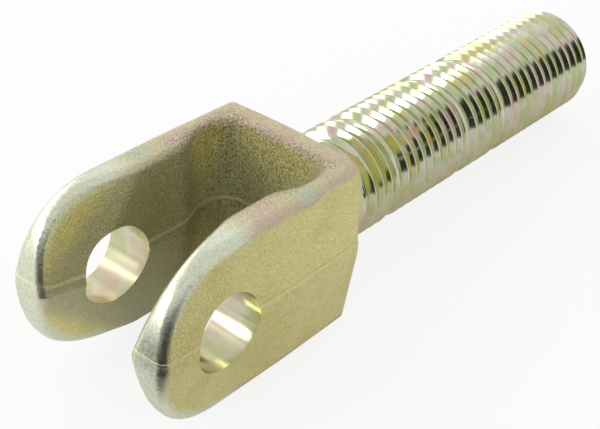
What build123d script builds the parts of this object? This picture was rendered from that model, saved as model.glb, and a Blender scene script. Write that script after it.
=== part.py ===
from build123d import *
from math import cos, radians, sin, tan
import os

# Clevis rod end, forged in one piece and then machined.
# Frame, in millimetres: the origin is where the pin axis crosses the shank axis.
# +X runs along the shank to its threaded end, +Y along the pin axis, and +Z out of the open
# side of the fork. The forging dies part on the plane Z = 0.

# Machined sizes
PIN_D = 20.0                  # clevis pin
PIN_CLEARANCE = 0.25          # on the diameter
THREAD_D = 30.0               # M30 coarse
SHANK_END_X = 169.6           # end face of the shank
END_RIM_D = 28.3              # small end of the chamfer on the shank
NECK_D = 25.0                 # thread undercut behind the fork
NECK_LENGTH = 12.0            # parallel part of the undercut
NECK_RAMP_ANGLE = 30.0        # where the undercut runs up to the thread
NECK_FILLET = 1.6
NECK_FILLET_SHARE = 0.9       # the most of the step beside it that the fillet may take
LAND_X = 48.5                 # turned land on the fork's back, where the neck starts
LAND_D = 31.0
SHANK_ROOT = 3.5              # the shank's profile starts this far inside the fork

# Three turns of the thread are cut down by shallow turned grooves
GROOVE_XS = (74.7, 106.7, 124.1)
GROOVE_DEPTH = 0.75
GROOVE_FLOOR = 2.6
GROOVE_SLOPE = 1.0            # width of each sloping side

# Forged fork
BACK_X = 47.9                 # back of the fork on the shank axis
BACK_CORNER_X = 46.4          # and at its corners
HALF_HEIGHT = 23.0            # parting plane to the top
TIP_X = -21.4                 # tip of an ear
TIP_FULLNESS = 0.61           # 0.552 would make the tip an ellipse; this is a little squarer
HALF_WIDTH = 24.35            # outer face of an ear, on the parting plane
BACK_HALF_WIDTH = 23.7        # the same at the back face
TAPER_START_X = 24.0          # where the outer faces begin to draw in
OUTER_DRAFT = 7.0
SLOT_DRAFT = 6.0
HALF_SLOT = 11.05             # inner face of an ear, on the parting plane
THROAT_X = 39.3               # end of the slot, on the parting plane
THROAT_HALF_WIDTH = 14.0      # the slot is wider at its end
THROAT_START_X = 30.5
FLARE_START_X = 23.0          # between here and the throat the walls draw apart
FLARE_BLEND_R = 9.0
THROAT_CORNER_R = 6.5
MARGIN = 6.0                  # the raw outlines run past the finished edges by this much
OUTER_EDGE_R = 2.5            # rounding between the outer faces and the top
SLOT_EDGE_R = 2.2             # rounding between the slot and the top

# The inner faces slope away towards the rounded tips, one facet above and one below
MOUTH_START = 7.5             # from the pin axis to the facet's edge, square to that edge
MOUTH_EDGE_ANGLE = 40.0       # of that square, from the shank axis towards the top
MOUTH_SLOPE = 0.31            # rise of the facet away from the flat of the inner face
MOUTH_BLEND_R = 16.0

# Trimmed flash, a bead that runs round just above the parting plane
FLASH_PROUD = 0.2             # of the drafted faces beside it
FLASH_TOP = 2.6
FLASH_WIDTH = 0.8

pin_hole_r = (PIN_D + PIN_CLEARANCE) / 2
thread_r = THREAD_D / 2
neck_r = NECK_D / 2
land_r = LAND_D / 2
end_rim_r = END_RIM_D / 2
groove_r = thread_r - GROOVE_DEPTH
nose_x = TIP_X - MARGIN
raw_back_x = BACK_X + MARGIN
taper_slope = (HALF_WIDTH - BACK_HALF_WIDTH) / (BACK_X - TAPER_START_X)
raw_back_half_width = HALF_WIDTH - taper_slope * (raw_back_x - TAPER_START_X)
edge_angle = radians(MOUTH_EDGE_ANGLE)
slot_open_x = nose_x - MARGIN
flash_reach = FLASH_PROUD - FLASH_TOP * tan(radians(OUTER_DRAFT))
outer_top_y = HALF_WIDTH - HALF_HEIGHT * tan(radians(OUTER_DRAFT))
throat_top_y = THROAT_HALF_WIDTH + HALF_HEIGHT * tan(radians(SLOT_DRAFT))
mid_ear_y = (outer_top_y + throat_top_y) / 2    # inside the metal of an ear all along its rim
neck_end_x = LAND_X + NECK_LENGTH
thread_start_x = neck_end_x + (thread_r - neck_r) / tan(radians(NECK_RAMP_ANGLE))
groove_points = [
    (groove_x + side * half, radius)
    for groove_x in GROOVE_XS
    for side, half, radius in (
        (-1, GROOVE_FLOOR / 2 + GROOVE_SLOPE, thread_r),
        (-1, GROOVE_FLOOR / 2, groove_r),
        (1, GROOVE_FLOOR / 2, groove_r),
        (1, GROOVE_FLOOR / 2 + GROOVE_SLOPE, thread_r),
    )
]


def fork_plan(tip_x, proud):
    """The fork's outline on the parting plane, grown by the amount it stands proud."""
    with BuildSketch() as plan:
        with BuildLine():
            Polyline(
                (raw_back_x, 0),
                (raw_back_x, raw_back_half_width + proud),
                (TAPER_START_X, HALF_WIDTH + proud),
                (tip_x, HALF_WIDTH + proud),
                (tip_x, 0),
            )
            mirror(about=Plane.XZ)
        make_face()
    return plan.sketch


def slot_plan(height, proud):
    """Section of the slot at a height above the parting plane, drawn in by proud."""
    drafted = height * tan(radians(SLOT_DRAFT)) - proud
    half_slot = HALF_SLOT + drafted
    throat_x = THROAT_X + drafted
    throat_half_width = THROAT_HALF_WIDTH + drafted
    mouth_x = (height * sin(edge_angle) - MOUTH_START) / cos(edge_angle)
    mouth_half_width = half_slot + MOUTH_SLOPE * cos(edge_angle) * (mouth_x - slot_open_x)
    with BuildSketch(Plane.XY.offset(height)) as section:
        with BuildLine():
            Polyline(
                (throat_x, 0),
                (throat_x, throat_half_width),
                (THROAT_START_X, throat_half_width),
                (FLARE_START_X, half_slot),
                (mouth_x, half_slot),
                (slot_open_x, mouth_half_width),
                (slot_open_x, 0),
            )
            mirror(about=Plane.XZ)
        make_face()
        for corner_x, corner_r in (
            (throat_x, THROAT_CORNER_R),
            (THROAT_START_X, FLARE_BLEND_R),
            (FLARE_START_X, FLARE_BLEND_R),
            (mouth_x, MOUTH_BLEND_R),
        ):
            corners = section.vertices().filter_by_position(Axis.X, corner_x, corner_x)
            fillet(corners.filter_by(lambda corner: abs(corner.Y) > HALF_SLOT / 2), corner_r)
    return section.sketch


with BuildPart() as flash:
    # A bead that follows the fork's outline at its own height, with its tips rounded alike
    extrude(fork_plan(TIP_X, flash_reach), amount=FLASH_TOP)
    extrude(slot_plan(FLASH_TOP, FLASH_PROUD), amount=-FLASH_TOP, mode=Mode.SUBTRACT)
    fillet(edges().filter_by(Axis.Z).group_by(Axis.X)[0], OUTER_EDGE_R)
    split(bisect_by=Plane.XY.offset(FLASH_TOP - FLASH_WIDTH), keep=Keep.TOP)

with BuildPart() as clevis_rod_end:
    # The fork's upper half, as it leaves the upper die
    extrude(fork_plan(nose_x, 0), amount=HALF_HEIGHT, taper=OUTER_DRAFT)
    loft([slot_plan(0, 0), slot_plan(HALF_HEIGHT, 0)], ruled=True, mode=Mode.SUBTRACT)
    with BuildSketch(Plane.XZ):
        with BuildLine():
            Bezier(
                (0, HALF_HEIGHT),
                (TIP_X * TIP_FULLNESS, HALF_HEIGHT),
                (TIP_X, HALF_HEIGHT * TIP_FULLNESS),
                (TIP_X, 0),
            )
            Polyline((TIP_X, 0), (raw_back_x, 0), (raw_back_x, HALF_HEIGHT), (0, HALF_HEIGHT))
        make_face()
    extrude(amount=HALF_WIDTH + MARGIN, both=True, mode=Mode.INTERSECT)
    for edge_r, on_outside in ((OUTER_EDGE_R, True), (SLOT_EDGE_R, False)):
        top = faces().filter_by(Axis.Z).sort_by(Axis.Z)[-1]
        tips = faces().filter_by(GeomType.PLANE, reverse=True).group_by(Axis.X)[0]
        across_ears = top.edges() & tips.edges()
        rim = (top.edges() + tips.edges()).filter_by(
            lambda edge: edge not in across_ears
            and edge.center().Z > 0 and edge.center().X < BACK_X
            and (abs(edge.center().Y) > mid_ear_y) == on_outside
        )
        fillet(rim, edge_r)

    # The lower half is its mirror image, and the trimmed flash runs round between them
    mirror(about=Plane.XY)
    add(flash.part)

    # The back is trimmed to a shallow arc
    with BuildSketch():
        with BuildLine():
            ThreePointArc(
                (BACK_CORNER_X, -BACK_HALF_WIDTH), (BACK_X, 0), (BACK_CORNER_X, BACK_HALF_WIDTH)
            )
            Polyline(
                (BACK_CORNER_X, BACK_HALF_WIDTH),
                (BACK_CORNER_X, HALF_WIDTH + MARGIN),
                (raw_back_x, HALF_WIDTH + MARGIN),
                (raw_back_x, -HALF_WIDTH - MARGIN),
                (BACK_CORNER_X, -HALF_WIDTH - MARGIN),
                (BACK_CORNER_X, -BACK_HALF_WIDTH),
            )
        make_face()
    extrude(amount=HALF_HEIGHT, both=True, mode=Mode.SUBTRACT)

    # Machining: the pin hole through both ears, then the shank with its land, thread
    # undercut, grooves and end chamfer
    with Locations(Plane.XZ):
        Hole(pin_hole_r)

    with BuildSketch(Plane.XZ):
        with BuildLine():
            Polyline(
                (LAND_X - SHANK_ROOT, 0),
                (LAND_X - SHANK_ROOT, land_r),
                (LAND_X, land_r),
                (LAND_X, neck_r),
                (neck_end_x, neck_r),
                (thread_start_x, thread_r),
                *groove_points,
                (SHANK_END_X - thread_r + end_rim_r, thread_r),
                (SHANK_END_X, end_rim_r),
                (SHANK_END_X, 0),
                close=True,
            )
        make_face()
    revolve(axis=Axis.X)
    neck_corner = edges().filter_by(GeomType.CIRCLE).filter_by(
        lambda edge: edge.center().X == LAND_X and edge.radius == neck_r
    )
    fillet(neck_corner, min(NECK_FILLET, NECK_FILLET_SHARE * (land_r - neck_r)))

clevis_rod_end.part.label = "clevis_rod_end"
os.makedirs("parts", exist_ok=True)
export_step(clevis_rod_end.part, "parts/clevis_rod_end.step")
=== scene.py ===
from functools import partial
from math import cos, pi, radians, sin, tan

import bpy
from bpy.props import FloatProperty, FloatVectorProperty, PointerProperty
from mathutils import Euler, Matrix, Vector


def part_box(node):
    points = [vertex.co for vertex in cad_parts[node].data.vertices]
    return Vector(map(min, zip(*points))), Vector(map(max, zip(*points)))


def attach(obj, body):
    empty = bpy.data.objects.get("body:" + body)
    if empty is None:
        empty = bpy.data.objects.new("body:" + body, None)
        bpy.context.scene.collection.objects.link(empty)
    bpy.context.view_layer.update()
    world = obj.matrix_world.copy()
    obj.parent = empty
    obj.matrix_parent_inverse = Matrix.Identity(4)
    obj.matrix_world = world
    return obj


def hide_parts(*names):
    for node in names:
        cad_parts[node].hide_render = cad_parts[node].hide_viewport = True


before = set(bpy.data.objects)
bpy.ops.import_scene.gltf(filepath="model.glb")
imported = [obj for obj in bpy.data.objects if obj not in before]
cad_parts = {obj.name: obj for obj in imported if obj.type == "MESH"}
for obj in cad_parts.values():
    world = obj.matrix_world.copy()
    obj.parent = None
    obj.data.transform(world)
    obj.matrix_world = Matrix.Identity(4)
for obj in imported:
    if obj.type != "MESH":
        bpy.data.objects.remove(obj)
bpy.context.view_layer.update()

bl_info = {
    "name": "Clevis rod end",
    "version": (1, 0, 0),
    "blender": (4, 5, 0),
    "location": "3D View > Sidebar > Rod end",
    "description": "Dresses the forged clevis with its screw thread and its plating, and sets up a studio",
    "category": "Object",
}

NODE = "clevis_rod_end"
MM = 0.001
NEAR = 1e-6                   # points closer than this, in metres, are one point

# How the meshes are made
TURN_STEPS = 96               # facets round everything that is turned
FILLET_STEP = 15              # degrees
ROOT_ARC = (-60, -30, 0, 30, 60)    # degrees, where the thread's root is rounded
SPARE_TURNS = 3               # of thread, so that it runs past both ends of the blank
LIP = 0.1 * MM                # of the turned land that comes with the neck
FLAT_WITHIN = 0.3             # degrees, between facets that are one face
SOFT_EDGE = 0.18 * MM         # of the forging's edges
SOFT_EDGE_ANGLE = 50          # degrees, an edge that is sharper gets softened
SMOOTH_ANGLE = 34             # degrees, an edge that is blunter is shaded smooth

# Which faces are machined, and the material indexes of the finished piece
BORE_MARGIN = 0.02 * MM
LAND_MARGIN = 0.01 * MM
LAND_LENGTH = 0.9 * MM        # of the land that stands clear of the fork's back
FORGED, TURNED, REAMED = range(3)


# Small tools for edit mode and for node trees ------------------------------------------------

def only(*objects):
    """Selects these objects and makes the first one active."""
    bpy.ops.object.select_all(action="DESELECT")
    for item in objects:
        item.select_set(True)
    bpy.context.view_layer.objects.active = objects[0]


def edit(mode="VERT"):
    """Opens the active mesh in edit mode, to select by vertex, edge or face."""
    bpy.ops.object.mode_set(mode="EDIT")
    bpy.ops.mesh.select_mode(type=mode)


def leave():
    """Closes edit mode, so that code can read the mesh."""
    bpy.ops.object.mode_set(mode="OBJECT")


def pick(item, kind, test):
    """Selects the edges or polygons of a mesh that pass the test, and stays in edit mode."""
    edit("VERT")
    bpy.ops.mesh.select_all(action="DESELECT")
    bpy.ops.mesh.select_mode(type={"edges": "EDGE", "polygons": "FACE"}[kind])
    leave()
    for element in getattr(item.data, kind):
        element.select = test(element)
    bpy.ops.object.mode_set(mode="EDIT")


def profile(name, points):
    """A line of edges in the XZ plane, drawn by extruding one vertex from point to point."""
    bpy.ops.mesh.primitive_plane_add(size=MM)
    line = bpy.context.active_object
    line.name = line.data.name = name
    edit()
    bpy.ops.mesh.select_all(action="SELECT")
    bpy.ops.mesh.merge(type="CENTER")
    bpy.ops.transform.translate(value=(points[0][0], 0, points[0][1]))
    for (x0, z0), (x1, z1) in zip(points, points[1:]):
        bpy.ops.mesh.extrude_region_move(TRANSFORM_OT_translate={"value": (x1 - x0, 0, z1 - z0)})
    leave()
    return line


def weld(item):
    """Merges the points that lie on each other, and turns the faces outwards."""
    only(item)
    edit()
    bpy.ops.mesh.select_all(action="SELECT")
    bpy.ops.mesh.remove_doubles(threshold=NEAR)
    bpy.ops.mesh.normals_make_consistent(inside=False)
    leave()


def turn(item):
    """Spins a profile once round the X axis."""
    only(item)
    edit()
    bpy.ops.mesh.select_all(action="SELECT")
    bpy.ops.mesh.spin(steps=TURN_STEPS, angle=2 * pi, center=(0, 0, 0), axis=(1, 0, 0))
    leave()
    weld(item)


def apply(item, kind, **settings):
    """Gives an object a modifier with these settings, and applies it."""
    only(item)
    modifier = item.modifiers.new(kind.lower(), kind)
    for name, value in settings.items():
        setattr(modifier, name, value)
    bpy.ops.object.modifier_apply(modifier=modifier.name)


def linear(code):
    """An sRGB hex colour as Blender's linear RGBA."""
    parts = [int(code[i:i + 2], 16) / 255 for i in (1, 3, 5)]
    return [p / 12.92 if p <= 0.04045 else ((p + 0.055) / 1.055) ** 2.4 for p in parts] + [1.0]


def add(tree, kind, sockets=None, stops=(), **settings):
    """Adds a node with its settings and colour stops. Each socket gets a value, or a link from
    a socket. A node given for a socket stands for the first output that it has in use."""
    made = tree.nodes.new(kind)
    for name, value in settings.items():
        setattr(made, name, value)
    for index, (position, tint) in enumerate(stops):
        elements = made.color_ramp.elements
        element = elements[index] if index < len(elements) else elements.new(position)
        element.position = position
        element.color = tint
    for key, value in (sockets or {}).items():
        if isinstance(value, bpy.types.Node):
            value = next(output for output in value.outputs if output.enabled)
        if isinstance(value, bpy.types.NodeSocket):
            tree.links.new(value, made.inputs[key])
        else:
            made.inputs[key].default_value = value
    return made


# Sizes and colours --------------------------------------------------------------------------

class ShankSizes(bpy.types.PropertyGroup):
    """Sizes of the machined shank"""
    thread_diameter: FloatProperty(
        name="Thread diameter", description="Over the crests", default=30 * MM, unit="LENGTH")
    pitch: FloatProperty(
        name="Pitch", description="From crest to crest", default=3.5 * MM, unit="LENGTH")
    root_rounding: FloatProperty(
        name="Root rounding", description="Radius at the bottom of the thread",
        default=0.505 * MM, unit="LENGTH")
    rim_diameter: FloatProperty(
        name="End rim", description="Small end of the chamfer on the shank's end",
        default=28.3 * MM, unit="LENGTH")
    land_diameter: FloatProperty(
        name="Land", description="Turned land on the fork's back", default=31 * MM, unit="LENGTH")
    land_end: FloatProperty(
        name="Land end", description="Where the neck starts, from the pin axis",
        default=48.5 * MM, unit="LENGTH")
    neck_diameter: FloatProperty(
        name="Neck", description="Thread undercut behind the fork", default=25 * MM, unit="LENGTH")
    neck_length: FloatProperty(
        name="Neck length", description="Parallel part of the undercut", default=12 * MM, unit="LENGTH")
    neck_fillet: FloatProperty(
        name="Neck fillet", description="Between the neck and the land",
        default=1.6 * MM, unit="LENGTH")
    neck_ramp: FloatProperty(
        name="Neck ramp", description="Slope from the neck up to the thread",
        default=radians(30), subtype="ANGLE")
    grooves: FloatVectorProperty(
        name="Grooves", description="Centres of the shallow grooves across the thread",
        size=3, default=(74.7 * MM, 106.7 * MM, 124.1 * MM), unit="LENGTH")
    groove_depth: FloatProperty(
        name="Groove depth", description="Below the crests", default=0.75 * MM, unit="LENGTH")
    groove_floor: FloatProperty(
        name="Groove floor", description="Width of the flat bottom",
        default=2.6 * MM, unit="LENGTH")
    groove_slope: FloatProperty(
        name="Groove slope", description="Width of each sloping side",
        default=1.0 * MM, unit="LENGTH")


def colour(name, description, code):
    """A colour property whose default is an sRGB hex value."""
    return FloatVectorProperty(
        name=name, description=description, size=4, subtype="COLOR", min=0, max=1,
        default=linear(code))


class PlatingColours(bpy.types.PropertyGroup):
    """Tints of the plating's film, with painted shade and painted highlights"""
    gold: colour("Gold", "Main colour of the chromated zinc on the forging", "#F2E8A2")
    olive: colour("Olive", "Thicker film on the forging", "#EADF98")
    pit: colour("Pit", "Film in the pits of the grain", "#8C8868")
    pale: colour("Pale", "Thinner film on the upper side of the forging", "#DED6AC")
    pink: colour("Pink", "Interference tint on the upper side of the forging", "#DCC8B2")
    mint: colour("Mint", "Interference tint on the upper side of the forging", "#CFD6B8")
    # Painted shade: a duller, darker colour for the walls inside the slot
    slot_painted_shade: colour("Shade", "Duller film inside the slot", "#C2C09E")
    # Painted highlight: a whiter colour for the smooth rims of the tips
    rim: colour("Rim", "Thin film on the smooth rims of the tips", "#E6EDD6")
    # Painted highlight: a lighter colour for the trimmed flash
    flash_painted_highlight: colour("Bare", "Worn film on the trimmed flash", "#F6F0D4")
    bright: colour("Bright", "Main colour on turned surfaces", "#DAD8C2")
    rose: colour("Rose", "Interference tint on turned surfaces", "#D8C2B9")
    green: colour("Green", "Interference tint on turned surfaces", "#C2CCA4")
    straw: colour("Straw", "Interference tint on turned surfaces", "#DACB92")


class Studio(bpy.types.PropertyGroup):
    """Colour of the ground"""
    ground: colour("Ground", "Floor and backdrop", "#F4F4F4")


# The threaded shank -------------------------------------------------------------------------

def thread_profile(sizes):
    """One pitch of a 60 degree thread, from crest to crest, sharp where the blank will cut it."""
    flank = radians(60) / 2
    half_crest = sizes.pitch / 16           # the flat on a crest is an eighth of the pitch
    apex = sizes.thread_diameter / 2 + half_crest / tan(flank)
    sharp_root = apex - sizes.pitch / 2 / tan(flank)
    centre = sharp_root + sizes.root_rounding / sin(flank)
    turns = [radians(angle) for angle in ROOT_ARC]
    root = [(sizes.root_rounding * sin(a), centre - sizes.root_rounding * cos(a)) for a in turns]
    return [(-sizes.pitch / 2, apex), *root, (sizes.pitch / 2, apex)]


def close_end(item, low, high):
    """Draws the open end between low and high in to one point on the X axis."""
    only(item)
    edit("EDGE")
    bpy.ops.mesh.select_all(action="DESELECT")
    bpy.ops.mesh.select_non_manifold()
    leave()
    points = item.data.vertices
    rim = [edge.select and all(low < points[i].co.x < high for i in edge.vertices)
           for edge in item.data.edges]
    pick(item, "edges", lambda edge: rim[edge.index])
    bpy.ops.mesh.extrude_region_move()
    bpy.ops.mesh.merge(type="CENTER")
    leave()


class RODEND_OT_turn_shank(bpy.types.Operator):
    """Turns the neck and the blank of the shank, and cuts its thread"""
    bl_idname = "rodend.turn_shank"
    bl_label = "Turn shank"

    def execute(self, context):
        sizes = context.scene.rodend_shank
        thread_r = sizes.thread_diameter / 2
        neck_r = sizes.neck_diameter / 2
        land_r = sizes.land_diameter / 2
        rim_r = sizes.rim_diameter / 2
        end_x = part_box(NODE)[1].x
        fillet = sizes.neck_fillet
        neck_end = sizes.land_end + sizes.neck_length
        joint_x = sizes.land_end + sizes.neck_length / 2

        arc = [radians(angle) for angle in range(0, 91, FILLET_STEP)]
        neck = profile("neck", [
            (sizes.land_end - LIP, land_r),
            (sizes.land_end, land_r),
            *[(sizes.land_end + fillet * (1 - cos(a)), neck_r + fillet * (1 - sin(a))) for a in arc],
            (joint_x, neck_r),
        ])
        turn(neck)

        half_floor = sizes.groove_floor / 2
        half_mouth = half_floor + sizes.groove_slope
        floor_r = thread_r - sizes.groove_depth
        steps = []
        for x in sizes.grooves:
            steps += [
                (x - half_mouth, thread_r), (x - half_floor, floor_r),
                (x + half_floor, floor_r), (x + half_mouth, thread_r),
            ]
        blank = profile("shank", [
            (joint_x, neck_r),
            (neck_end, neck_r),
            (neck_end + (thread_r - neck_r) / tan(sizes.neck_ramp), thread_r),
            *steps,
            (end_x - thread_r + rim_r, thread_r),
            (end_x, rim_r),
        ])
        turn(blank)
        only(blank)
        edit()
        bpy.ops.mesh.select_all(action="SELECT")
        bpy.ops.mesh.fill_holes(sides=0)
        bpy.ops.mesh.select_all(action="SELECT")
        bpy.ops.mesh.normals_make_consistent(inside=False)
        leave()

        # A crest lies in the middle of the first groove
        first_x = sizes.land_end
        count = int((end_x - first_x) / sizes.pitch) + SPARE_TURNS
        start_x = first_x + (sizes.grooves[0] + sizes.pitch / 2 - first_x) % sizes.pitch
        thread = profile("thread", [(start_x + x, r) for x, r in thread_profile(sizes)])
        apply(
            thread, "SCREW", axis="X", angle=2 * pi, screw_offset=sizes.pitch, iterations=count,
            steps=TURN_STEPS, render_steps=TURN_STEPS, use_merge_vertices=True,
            merge_threshold=NEAR)
        weld(thread)
        xs = [v.co.x for v in thread.data.vertices]
        middle = (min(xs) + max(xs)) / 2
        close_end(thread, min(xs) - MM, middle)
        close_end(thread, middle, max(xs) + MM)
        weld(thread)
        apply(blank, "BOOLEAN", operation="INTERSECT", solver="EXACT", object=thread)
        bpy.data.objects.remove(thread)

        # The cap inside the neck goes, so that neck and shank become one skin
        pick(blank, "polygons", lambda face: abs(face.center.x - joint_x) < NEAR)
        bpy.ops.mesh.delete(type="FACE")
        leave()
        only(blank, neck)
        bpy.ops.object.join()
        weld(blank)
        return {"FINISHED"}


# The plating --------------------------------------------------------------------------------

# Sizes of the patterns. Real grit marks are about 0.2 mm and turning marks about 0.1 mm, which is
# too fine to show, so both are drawn coarser.
FILM_CLOUD = 16 * MM          # patches in which the forging's film varies
GRIT = 0.6 * MM
DENTS = 2.6 * MM
TURNED_PATCH = 7 * MM
REAMED_PATCH = 10 * MM
TURNING_MARKS = 1.2 * MM

# Where the forging's film changes, as (from, to) along a coordinate
EDGE_FROM_AXIS = (17 * MM, 25 * MM)       # from the pin axis out towards the edge
EDGE_WANDER = 6 * MM                      # how far the patches move that
RIM_FROM_AXIS = (19 * MM, 21.4 * MM)
RIM_X = (12 * MM, 2 * MM)
SLOT_ACROSS = (16 * MM, 13.5 * MM)
SLOT_X = (42 * MM, 39.5 * MM)
THROAT_ACROSS = (19.5 * MM, 16 * MM)
THROAT_BACK_X = (45.5 * MM, 42 * MM)
THROAT_FRONT_X = (12 * MM, 30 * MM)
FLASH_BOTTOM_Z = (1.6 * MM, 1.9 * MM)
FLASH_TOP_Z = (2.8 * MM, 2.5 * MM)
LOW_SIDE_Z = (5 * MM, -6 * MM)            # of the turned surfaces

TURNED_ROUGHNESS = 0.12
REAMED_ROUGHNESS = 0.2
WHITE = linear("#FFFFFF")


def start_material(name):
    """An empty material, its node tree, and the function that adds nodes to that tree."""
    material = bpy.data.materials.new(name)
    material.use_nodes = True
    material.node_tree.nodes.clear()
    return material, partial(add, material.node_tree)


def finish_metal(node, film, roughness, bump):
    """The metal under the film, and the material's output."""
    shader = node("ShaderNodeBsdfPrincipled", {
        "Base Color": film, "Metallic": 1.0, "Roughness": roughness, "Normal": bump})
    node("ShaderNodeOutputMaterial", {"Surface": shader})


def region(node, *limits):
    """A mask, 1 where every coordinate has gone past its limits and 0 where one hasn't begun."""
    mask = None
    for coordinate, (start, end) in limits:
        step = node("ShaderNodeMapRange", {"Value": coordinate, "From Min": start, "From Max": end},
                    interpolation_type="SMOOTHSTEP")
        mask = step if mask is None else node("ShaderNodeMath", {0: mask, 1: step},
                                              operation="MULTIPLY")
    return mask


def coat(node, film, tint, mask, share=1.0):
    """Lays a tint over the film where the mask is, as strongly as the share says."""
    amount = node("ShaderNodeMath", {0: mask, 1: share}, operation="MULTIPLY")
    return node("ShaderNodeMix", {0: amount, 6: film, 7: tint}, data_type="RGBA")


def shot_blasted_forging(colours):
    """Yellow chromated zinc on hammer forged, shot blasted steel. Blasting leaves a fine grain, so
    the eye sees a soft gold without clear reflections. The slot has painted shade, and the smooth
    rims of the tips and the trimmed flash have painted highlights."""
    material, node = start_material("shot_blasted_yellow_zinc")
    place = node("ShaderNodeTexCoord").outputs["Object"]
    x, y, z = node("ShaderNodeSeparateXYZ", {"Vector": place}).outputs
    cloud = node("ShaderNodeTexNoise", {
        "Vector": place, "Scale": 1 / FILM_CLOUD, "Detail": 3.0, "Roughness": 0.6})
    grit = node("ShaderNodeTexNoise", {
        "Vector": place, "Scale": 1 / GRIT, "Detail": 5.0, "Roughness": 0.65})
    dents = node("ShaderNodeTexNoise", {
        "Vector": place, "Scale": 1 / DENTS, "Detail": 3.0, "Roughness": 0.55})

    # From the pin axis to the edge of the tips, and to the top and bottom behind them
    tip_x = node("ShaderNodeMath", {0: x, 1: 0.0}, operation="MINIMUM")
    spoke = node("ShaderNodeCombineXYZ", {"X": tip_x, "Z": z})
    from_axis = node("ShaderNodeVectorMath", {0: spoke}, operation="LENGTH")
    across = node("ShaderNodeMath", {0: y}, operation="ABSOLUTE")
    on_rim = region(node, (from_axis, RIM_FROM_AXIS), (x, RIM_X))
    slot_shade_region = region(node, (across, SLOT_ACROSS), (x, SLOT_X))
    round_throat = region(node, (across, THROAT_ACROSS), (x, THROAT_BACK_X), (x, THROAT_FRONT_X))
    flash_highlight_region = region(node, (z, FLASH_BOTTOM_Z), (z, FLASH_TOP_Z))

    # The film turns from gold to pink along the outer edge, and is mottled on the upper side
    centred = node("ShaderNodeMath", {0: from_axis, 1: EDGE_WANDER / 2}, operation="SUBTRACT")
    uneven = node("ShaderNodeMath", {0: cloud, 1: EDGE_WANDER, 2: centred},
                  operation="MULTIPLY_ADD")
    edge = region(node, (uneven, EDGE_FROM_AXIS))
    plain = node("ShaderNodeValToRGB", {"Fac": cloud},
                 stops=[(0.4, colours.olive), (0.55, colours.gold)])
    mottled = node("ShaderNodeValToRGB", {"Fac": cloud},
                   stops=[(0.38, colours.pink), (0.48, colours.pale), (0.56, colours.pale),
                          (0.64, colours.mint)])
    film = coat(node, plain, colours.pink, region(node, (edge, (0.35, 0.65))))
    film = coat(node, film, mottled, region(node, (edge, (0.65, 0.9))))
    # Painted highlight: the smooth rims of the tips are coated in a whiter colour
    film = coat(node, film, colours.rim, on_rim, 0.85)
    # Painted shade: the inside of the slot is coated in a duller, darker colour
    film = coat(node, film, colours.slot_painted_shade, slot_shade_region, 0.85)

    # Dark specks in the pits of the grain, most of all round the slot's closed end
    speck = node("ShaderNodeValToRGB", {"Fac": grit}, stops=[(0.4, colours.pit), (0.54, WHITE)])
    share = node("ShaderNodeMath", {0: round_throat, 1: 0.45, 2: 0.25}, operation="MULTIPLY_ADD")
    film = node("ShaderNodeMix", {0: share, 6: film, 7: speck}, data_type="RGBA",
                blend_type="MULTIPLY")
    # Painted highlight: the trimmed flash band is coated half way to a near white
    film = coat(node, film, colours.flash_painted_highlight, flash_highlight_region, 0.5)

    # The grain is coarser round the slot's closed end, and nearly gone on the rims
    rough = node("ShaderNodeMapRange", {
        "Value": grit, "From Min": 0.3, "From Max": 0.7, "To Min": 0.34, "To Max": 0.25})
    grain = node("ShaderNodeMath", {0: on_rim, 1: -0.75, 2: 1.0}, operation="MULTIPLY_ADD")
    depth = node("ShaderNodeMath", {0: round_throat, 1: 0.55 * MM, 2: 0.34 * MM},
                 operation="MULTIPLY_ADD")
    small = node("ShaderNodeBump", {"Strength": grain, "Distance": depth, "Height": grit})
    large = node("ShaderNodeBump", {
        "Strength": 0.3, "Distance": 0.3 * MM, "Height": dents, "Normal": small})
    finish_metal(node, film, rough, large)
    return material


def cut_steel(name, colours, patch, roughness):
    """Yellow chromated zinc on steel that a tool has cut. The cut leaves it smooth, so the eye sees
    a bright metal with clear reflections, and the thin film's pink, green and straw on it."""
    material, node = start_material(name)
    place = node("ShaderNodeTexCoord").outputs["Object"]
    cloud = node("ShaderNodeTexNoise", {"Vector": place, "Scale": 1 / patch})
    film = node("ShaderNodeValToRGB", {"Fac": cloud},
                stops=[(0.3, colours.rose), (0.45, colours.bright), (0.55, colours.green),
                       (0.7, colours.straw)])
    height = node("ShaderNodeSeparateXYZ", {"Vector": place}).outputs["Z"]
    film = coat(node, film, colours.straw, region(node, (height, LOW_SIDE_Z)), 0.35)
    marks = node("ShaderNodeTexNoise", {"Vector": place, "Scale": 1 / TURNING_MARKS})
    bump = node("ShaderNodeBump", {"Strength": 0.06, "Distance": 0.05 * MM, "Height": marks})
    finish_metal(node, film, roughness, bump)
    return material


# The finished piece ---------------------------------------------------------------------------

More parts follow.
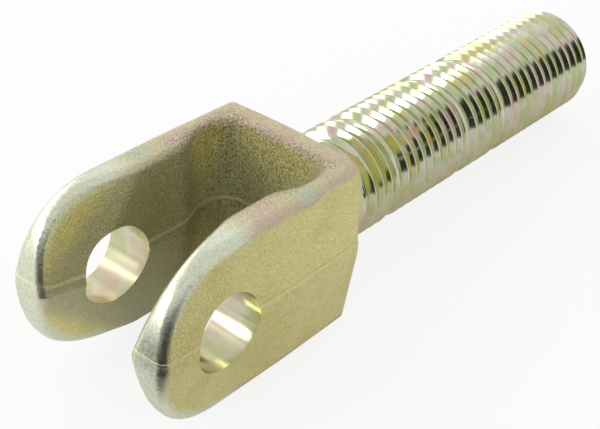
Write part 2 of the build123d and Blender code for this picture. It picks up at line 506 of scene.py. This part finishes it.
class RODEND_OT_finish_forging(bpy.types.Operator):
    """Takes the fork from the solid, joins the threaded shank to it and plates the whole piece"""
    bl_idname = "rodend.finish_forging"
    bl_label = "Finish forging"

    def execute(self, context):
        sizes = context.scene.rodend_shank
        colours = context.scene.rodend_plating
        shank = bpy.data.objects.get("shank")
        if shank is None:
            raise RuntimeError("The shank is turned before the forging is finished")
        neck_x = sizes.land_end - LIP
        cut_x = neck_x - LIP

        # A copy of the solid, as a new piece without the frame's tags or its split normals
        only(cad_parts[NODE])
        bpy.ops.object.duplicate()
        fork = context.active_object
        fork.name = fork.data.name = "plated_rod_end"
        for key in [key for key in fork.keys() if key.startswith("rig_")]:
            del fork[key]
        fork.parent = None
        bpy.ops.mesh.customdata_custom_splitnormals_clear()
        weld(fork)

        # The shank comes off inside the land, and the edges that are left are softened
        edit()
        bpy.ops.mesh.select_all(action="SELECT")
        bpy.ops.mesh.bisect(plane_co=(cut_x, 0, 0), plane_no=(1, 0, 0), clear_outer=True)
        bpy.ops.mesh.select_all(action="SELECT")
        bpy.ops.mesh.dissolve_limited(angle_limit=radians(FLAT_WITHIN))
        leave()
        apply(fork, "BEVEL", width=SOFT_EDGE, segments=2, limit_method="ANGLE",
              angle_limit=radians(SOFT_EDGE_ANGLE), use_clamp_overlap=True)

        fork.data.materials.clear()
        fork.data.materials.append(shot_blasted_forging(colours))
        fork.data.materials.append(
            cut_steel("turned_yellow_zinc", colours, TURNED_PATCH, TURNED_ROUGHNESS))
        fork.data.materials.append(
            cut_steel("reamed_yellow_zinc", colours, REAMED_PATCH, REAMED_ROUGHNESS))
        shank.data.materials.clear()
        shank.data.materials.append(fork.data.materials[TURNED])
        points = fork.data.vertices
        bore_r = min(point.co.xz.length for point in points) + BORE_MARGIN
        land_r = sizes.land_diameter / 2 + LAND_MARGIN
        land_x = sizes.land_end - LAND_LENGTH
        for face in fork.data.polygons:
            if all(points[i].co.xz.length < bore_r for i in face.vertices):
                face.material_index = REAMED
            elif face.center.x > land_x and face.center.yz.length < land_r:
                face.material_index = TURNED
            else:
                face.material_index = FORGED

        # The new shank goes on, bridged from the cut to the first ring of its neck
        only(fork, shank)
        bpy.ops.object.join()
        points = fork.data.vertices
        pick(fork, "edges", lambda edge: any(
            all(abs(points[i].co.x - ring_x) < NEAR for i in edge.vertices)
            for ring_x in (cut_x, neck_x)))
        bpy.ops.mesh.bridge_edge_loops()
        leave()
        weld(fork)
        bpy.ops.object.shade_smooth_by_angle(angle=radians(SMOOTH_ANGLE))
        apply(fork, "WEIGHTED_NORMAL", keep_sharp=True, weight=50)

        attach(fork, "root")
        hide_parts(NODE)
        return {"FINISHED"}


# The studio -----------------------------------------------------------------------------------

CAMERA_PLACE = (-0.20338, -0.19204, 0.20839)
CAMERA_TURN = (56.3128, -4.7596, -50.0362)      # degrees, XYZ
CAMERA_LENS = 90.58
CAMERA_SENSOR = 36
CAMERA_NEAR = 0.01

# The part rests on the lower edges of the fork's back and on the rim of the shank's end
REST_BACK_X = 47.5 * MM
REST_END_X = 168.75 * MM
REST_END_R = 15 * MM

GROUND_SIZE = 6
ROOM_LIGHT = 0.78                               # of the world, 1 being white
GROUND_GLOW = 0.12                              # how much of the ground's colour is plain white
GROUND_GLOW_TO_LENS = 0.84

# Softboxes: name, place, what they point at, width, height and power
LAMPS = (
    ("strip_softbox", (-0.70, 0.32, 0.30), (0, 0, 0), 0.24, 0.30, 1.1),
    ("left_softbox", (-0.20, 1.0, 0.55), (0.05, 0, 0), 1.2, 0.8, 4.2),
    ("back_softbox", (0.95, 0.70, 0.80), (0.03, 0, 0), 1.3, 0.9, 0.8),
)

# Felt cards: one lies on the floor, one stands at its far end and one stands beyond the tips
FELT = linear("#383836")
FELT_TO_LENS = linear("#FCFCFC")
CARD_AZIMUTH = -143                             # degrees, the side on which the first two are
CARD_START = 0.042
CARD_LENGTH = 0.9
CARD_HEIGHT = 0.34
CARD_LEFT_EDGE = 0.09
FLOOR_CARD_WIDTH = 1.2
STANDING_CARD_WIDTH = 2.2
END_CARD_X = -0.9
END_CARD_EDGE = 0.16
END_CARD_WIDTH = 1.2
END_CARD_HEIGHT = 0.36


def lamp(name, place, target, width, height, power):
    """A rectangular softbox at a place, pointed at a target."""
    bpy.ops.object.light_add(type="AREA", location=place)
    made = bpy.context.active_object
    made.name = made.data.name = name
    made.data.shape = "RECTANGLE"
    made.data.size = width
    made.data.size_y = height
    made.data.energy = power
    made.rotation_euler = (Vector(target) - Vector(place)).to_track_quat("-Z", "Y").to_euler()


def card(name, width, height, place, turn_to, material):
    """A flat card, first in the XY plane, turned by these degrees and set at this place."""
    bpy.ops.mesh.primitive_plane_add(size=1, location=place,
                                     rotation=[radians(angle) for angle in turn_to])
    made = bpy.context.active_object
    made.name = made.data.name = name
    made.scale = (width, height, 1)
    made.data.materials.append(material)


def backdrop(name, tint, white, glow, glow_to_lens):
    """Matte paper or felt whose colour gives way to plain white, as far as each glow says, so
    that the lens sees a white studio while the object sees the surface."""
    material, node = start_material(name)
    surface = node("ShaderNodeBsdfDiffuse", {"Color": tint})
    shine = node("ShaderNodeEmission", {"Color": white})
    to_lens = node("ShaderNodeLightPath").outputs["Is Camera Ray"]
    share = node("ShaderNodeMath", {0: to_lens, 1: glow_to_lens - glow, 2: glow},
                 operation="MULTIPLY_ADD")
    mixed = node("ShaderNodeMixShader", {0: share, 1: surface, 2: shine})
    node("ShaderNodeOutputMaterial", {"Surface": mixed})
    return material


class RODEND_OT_set_stage(bpy.types.Operator):
    """Lays the ground under the resting piece, and sets up the lamps and the camera"""
    bl_idname = "rodend.set_stage"
    bl_label = "Set stage"

    def execute(self, context):
        studio = context.scene.rodend_studio
        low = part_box(NODE)[0]
        slope = (-REST_END_R - low.z) / (REST_END_X - REST_BACK_X)
        bpy.ops.mesh.primitive_plane_add(size=GROUND_SIZE, location=(REST_BACK_X, 0, low.z))
        ground = context.active_object
        ground.name = ground.data.name = "ground"
        ground.rotation_euler = Euler((0, -slope, 0))
        ground.data.materials.append(
            backdrop("paper_ground", studio.ground, WHITE, GROUND_GLOW, GROUND_GLOW_TO_LENS))
        for softbox in LAMPS:
            lamp(*softbox)

        # Black felt keeps the room's light off the near side
        felt = backdrop("black_felt", FELT, FELT_TO_LENS, 0.0, 1.0)
        front = radians(CARD_AZIMUTH)
        far = CARD_START + CARD_LENGTH
        middle = CARD_START + CARD_LENGTH / 2
        aside = CARD_LEFT_EDGE - FLOOR_CARD_WIDTH / 2
        card("floor_card", CARD_LENGTH, FLOOR_CARD_WIDTH,
             (middle * cos(front) + aside * sin(front), middle * sin(front) - aside * cos(front),
              low.z + MM), (0, 0, CARD_AZIMUTH), felt)
        card("standing_card", CARD_HEIGHT, STANDING_CARD_WIDTH,
             (far * cos(front), far * sin(front), low.z + CARD_HEIGHT / 2),
             (0, 90, CARD_AZIMUTH), felt)
        card("end_card", END_CARD_HEIGHT, END_CARD_WIDTH,
             (END_CARD_X, END_CARD_EDGE - END_CARD_WIDTH / 2, low.z + END_CARD_HEIGHT / 2),
             (0, 90, 0), felt)

        # The room is white to the lens and a little darker to the object
        world = bpy.data.worlds.new("studio")
        context.scene.world = world
        world.use_nodes = True
        world.node_tree.nodes.clear()
        node = partial(add, world.node_tree)
        to_lens = node("ShaderNodeLightPath").outputs["Is Camera Ray"]
        level = node("ShaderNodeMix", {0: to_lens, 2: ROOM_LIGHT, 3: 1.0}, data_type="FLOAT")
        sky = node("ShaderNodeBackground", {"Color": WHITE, "Strength": level})
        node("ShaderNodeOutputWorld", {"Surface": sky})

        bpy.ops.object.camera_add(location=CAMERA_PLACE,
                                  rotation=[radians(angle) for angle in CAMERA_TURN])
        camera = context.active_object
        camera.name = camera.data.name = "camera"
        camera.data.lens = CAMERA_LENS
        camera.data.sensor_width = CAMERA_SENSOR
        camera.data.clip_start = CAMERA_NEAR
        context.scene.camera = camera
        context.scene.view_settings.view_transform = "Standard"
        return {"FINISHED"}


# The add-on -----------------------------------------------------------------------------------

class RODEND_PT_sidebar(bpy.types.Panel):
    """Lists the sizes and colours, and the steps in the order in which they are done"""
    bl_idname = "RODEND_PT_sidebar"
    bl_label = "Rod end"
    bl_space_type = "VIEW_3D"
    bl_region_type = "UI"
    bl_category = "Rod end"

    def draw(self, context):
        for group in (context.scene.rodend_shank, context.scene.rodend_plating,
                      context.scene.rodend_studio):
            box = self.layout.box()
            for name in group.__annotations__:
                box.prop(group, name)
        for step in STEPS:
            self.layout.operator(step.bl_idname)


STEPS = (RODEND_OT_turn_shank, RODEND_OT_finish_forging, RODEND_OT_set_stage)
CLASSES = (ShankSizes, PlatingColours, Studio, *STEPS, RODEND_PT_sidebar)


def register():
    for item in CLASSES:
        bpy.utils.register_class(item)
    bpy.types.Scene.rodend_shank = PointerProperty(type=ShankSizes)
    bpy.types.Scene.rodend_plating = PointerProperty(type=PlatingColours)
    bpy.types.Scene.rodend_studio = PointerProperty(type=Studio)


def unregister():
    del bpy.types.Scene.rodend_studio
    del bpy.types.Scene.rodend_plating
    del bpy.types.Scene.rodend_shank
    for item in reversed(CLASSES):
        bpy.utils.unregister_class(item)


def main():
    register()
    bpy.ops.rodend.turn_shank()
    bpy.ops.rodend.finish_forging()
    bpy.ops.rodend.set_stage()


if __name__ == "__main__":
    main()
